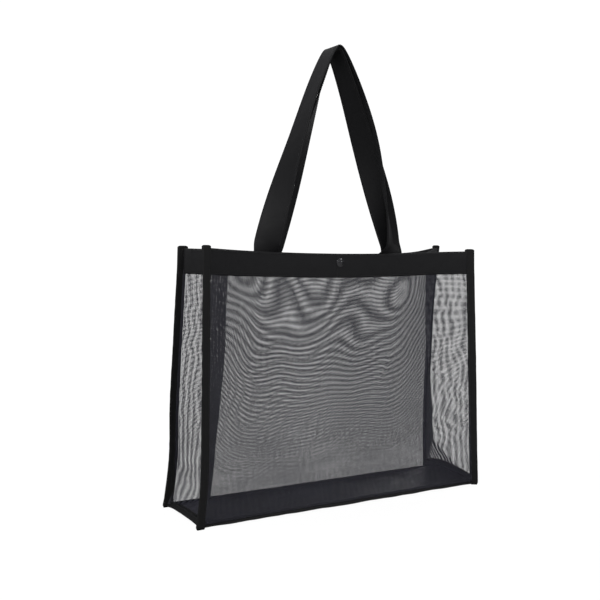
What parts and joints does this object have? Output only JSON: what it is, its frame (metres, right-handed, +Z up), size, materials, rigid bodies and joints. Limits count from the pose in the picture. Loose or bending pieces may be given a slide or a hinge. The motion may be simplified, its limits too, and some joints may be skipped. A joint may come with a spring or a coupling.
{
  "type": "beach bag",
  "caption": "Soft mesh tote with fabric top bands, taped seams, folding end gussets, two carrying straps and a press-stud closure.",
  "frame": {"origin": "middle of the base, on the floor", "axes": "+X to the right along the width, -Y is the front with the stud's cap, +Z up"},
  "size_m": [0.461, 0.1264, 0.637],
  "materials": {
    "mesh": "open knitted net, satin yarn",
    "band_fabric": "plain weave nylon, dull sheen",
    "base_fabric": "plain weave nylon, dull sheen",
    "binding_tape": "ribbed binding tape",
    "strap_webbing": "folded strap, edge stitched",
    "snap_metal": "black nickel"
  },
  "bodies": {
    "base": {"base_panel": "base_fabric", "left_mesh_gusset": "mesh", "right_mesh_gusset": "mesh", "left_gusset_band": "band_fabric", "right_gusset_band": "band_fabric", "front_left_corner_tape": "binding_tape", "front_right_corner_tape": "binding_tape", "back_left_corner_tape": "binding_tape", "back_right_corner_tape": "binding_tape", "front_base_tape": "binding_tape", "back_base_tape": "binding_tape", "left_base_tape": "binding_tape", "right_base_tape": "binding_tape"},
    "front_wall": {"front_mesh_wall": "mesh", "front_top_band": "band_fabric", "front_handle_ends": "strap_webbing", "snap_cap": "snap_metal", "snap_socket": "snap_metal"},
    "back_wall": {"back_mesh_wall": "mesh", "back_top_band": "band_fabric", "back_handle_ends": "strap_webbing", "snap_stud": "snap_metal", "snap_post": "snap_metal"},
    "front_strap": {"front_handle": "strap_webbing"},
    "back_strap": {"back_handle": "strap_webbing"}
  },
  "joints": [
    {"name": "front_wall_open", "type": "hinge", "parent": "base", "child": "front_wall", "pos_m": [0, -0.062, 0.00925], "axis": [1, 0, 0], "range_deg": [0, 9]},
    {"name": "back_wall_open", "type": "hinge", "parent": "base", "child": "back_wall", "pos_m": [0, 0.062, 0.00925], "axis": [-1, 0, 0], "range_deg": [0, 9]},
    {"name": "front_handle_fold", "type": "hinge", "parent": "front_wall", "child": "front_strap", "pos_m": [0, -0.0056, 0.3508], "axis": [1, 0, 0], "range_deg": [0, 160]},
    {"name": "back_handle_fold", "type": "hinge", "parent": "back_wall", "child": "back_strap", "pos_m": [0, 0.0056, 0.3508], "axis": [-1, 0, 0], "range_deg": [0, 160]}
  ],
  "couplings": [
    {"joint": "back_wall_open", "follows": "front_wall_open", "ratio": 1}
  ]
}
